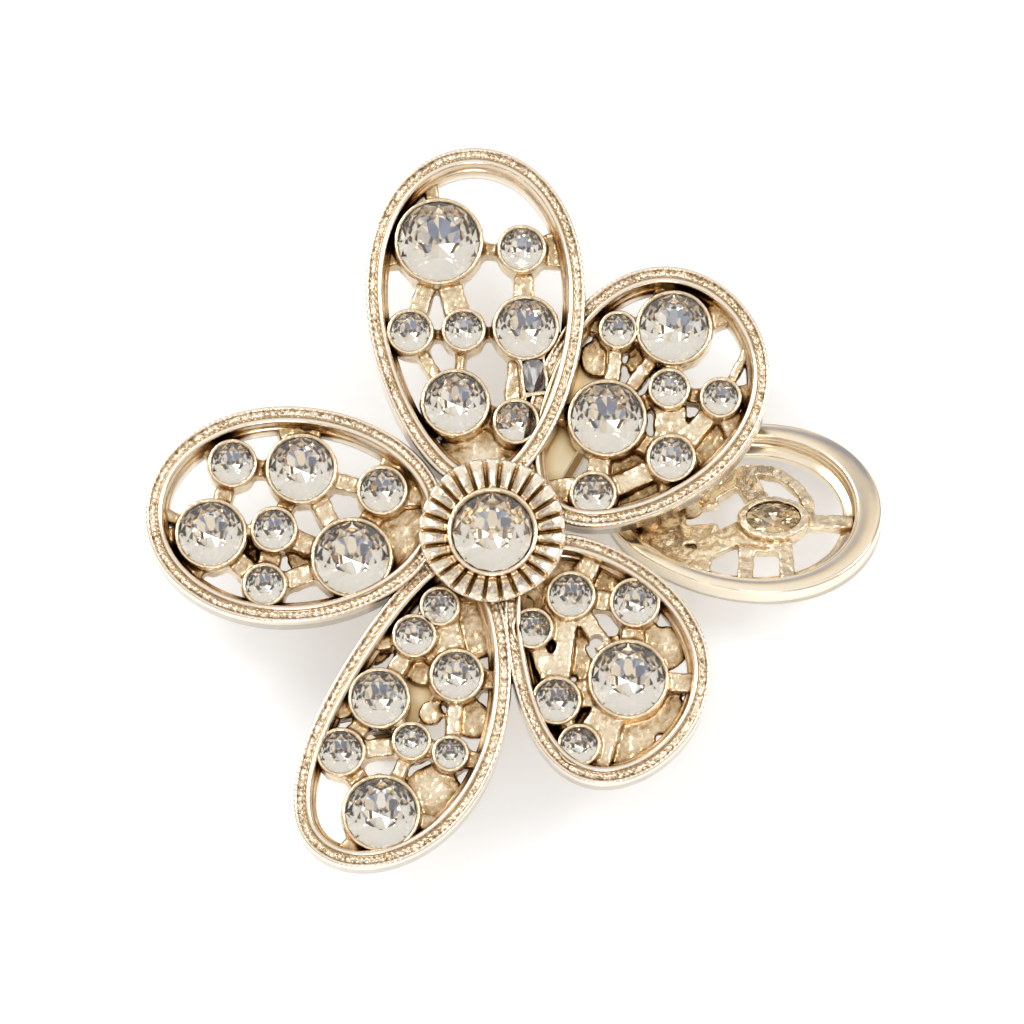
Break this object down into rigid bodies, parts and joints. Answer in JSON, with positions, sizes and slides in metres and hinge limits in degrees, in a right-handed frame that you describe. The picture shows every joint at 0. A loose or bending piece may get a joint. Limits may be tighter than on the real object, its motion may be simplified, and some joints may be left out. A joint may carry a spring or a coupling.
{
  "type": "hair barrette",
  "caption": "Flower hair barrette with openwork stone-set petals, a fluted rosette and one polished loop leaf, on a plain clip.",
  "frame": {"origin": "centre of the clip's lower face, straight under the middle of the rosette", "axes": "+Z out of the flower, away from the hair; +Y towards the top petal; +X towards the leaf"},
  "size_m": [0.0592, 0.0591, 0.0125],
  "materials": {
    "pale_gold_plate": "bright pale gold plating on cast alloy",
    "clip_plate": "plain pale gold plating on steel",
    "clear_stone": "faceted clear glass, foiled behind"
  },
  "bodies": {
    "root": {"clip": "clip_plate", "rosette": "pale_gold_plate", "leaf": "pale_gold_plate", "petal_top": "pale_gold_plate", "petal_left": "pale_gold_plate", "petal_upper_right": "pale_gold_plate", "petal_bottom": "pale_gold_plate", "petal_lower_right": "pale_gold_plate", "centre_stone": "clear_stone", "leaf_stone": "clear_stone", "petal_top_baguette": "clear_stone", "petal_top_stone_1": "clear_stone", "petal_top_stone_2": "clear_stone", "petal_top_stone_3": "clear_stone", "petal_top_stone_4": "clear_stone", "petal_top_stone_5": "clear_stone", "petal_top_stone_6": "clear_stone", "petal_top_stone_7": "clear_stone", "petal_left_stone_1": "clear_stone", "petal_left_stone_2": "clear_stone", "petal_left_stone_3": "clear_stone", "petal_left_stone_4": "clear_stone", "petal_left_stone_5": "clear_stone", "petal_left_stone_6": "clear_stone", "petal_left_stone_7": "clear_stone", "petal_upper_right_stone_1": "clear_stone", "petal_upper_right_stone_2": "clear_stone", "petal_upper_right_stone_3": "clear_stone", "petal_upper_right_stone_4": "clear_stone", "petal_upper_right_stone_5": "clear_stone", "petal_upper_right_stone_6": "clear_stone", "petal_upper_right_stone_7": "clear_stone", "petal_bottom_stone_1": "clear_stone", "petal_bottom_stone_2": "clear_stone", "petal_bottom_stone_3": "clear_stone", "petal_bottom_stone_4": "clear_stone", "petal_bottom_stone_5": "clear_stone", "petal_bottom_stone_6": "clear_stone", "petal_bottom_stone_7": "clear_stone", "petal_bottom_stone_8": "clear_stone", "petal_lower_right_stone_1": "clear_stone", "petal_lower_right_stone_2": "clear_stone", "petal_lower_right_stone_3": "clear_stone", "petal_lower_right_stone_4": "clear_stone", "petal_lower_right_stone_5": "clear_stone", "petal_lower_right_stone_6": "clear_stone"}
  },
  "joints": []
}
